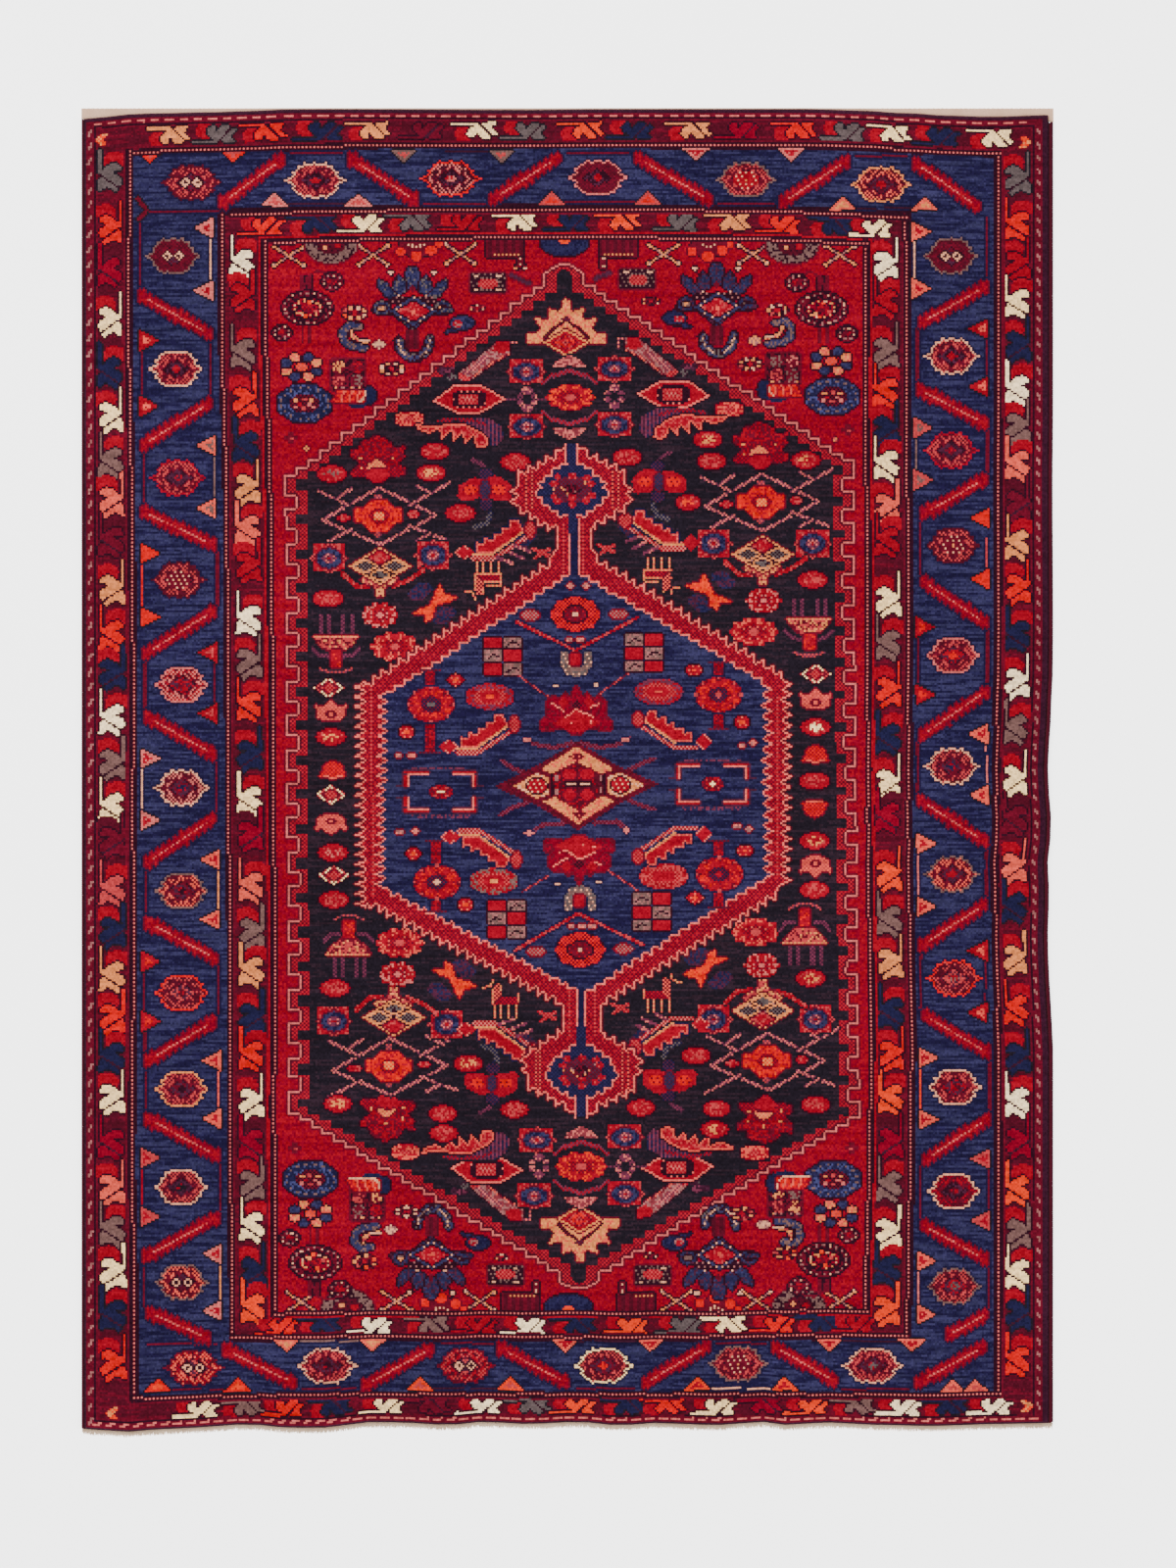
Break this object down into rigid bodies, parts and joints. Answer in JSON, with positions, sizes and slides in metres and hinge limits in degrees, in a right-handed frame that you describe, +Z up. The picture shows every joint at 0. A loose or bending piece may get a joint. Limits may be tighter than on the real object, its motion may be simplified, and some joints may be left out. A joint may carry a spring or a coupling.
{
  "type": "persian rug",
  "caption": "Flat hand-knotted wool rug with a hexagonal medallion on a stepped field, layered borders, overcast sides and short cotton ends.",
  "frame": {"origin": "on the floor under the middle of the rug's bounding box", "axes": "+Z up from the floor, +Y towards the woven end (the top of the rug as pictured), +X towards the right selvedge"},
  "size_m": [1.47, 2.012, 0.009],
  "materials": {
    "pile": "clipped wool pile, matt with a slight sheen, hand-knotted in crimson, navy, maroon, coral, cream and tan",
    "selvedge": "overcast wool yarn, dark plum and maroon",
    "cotton_end": "plain woven undyed cotton, tinged pink",
    "cotton_fringe": "cut undyed cotton warp ends"
  },
  "bodies": {
    "root": {"rug_body": "pile", "selvedge_left": "selvedge", "selvedge_right": "selvedge", "end_strip_top": "cotton_end", "fringe_bottom": "cotton_fringe"}
  },
  "joints": []
}
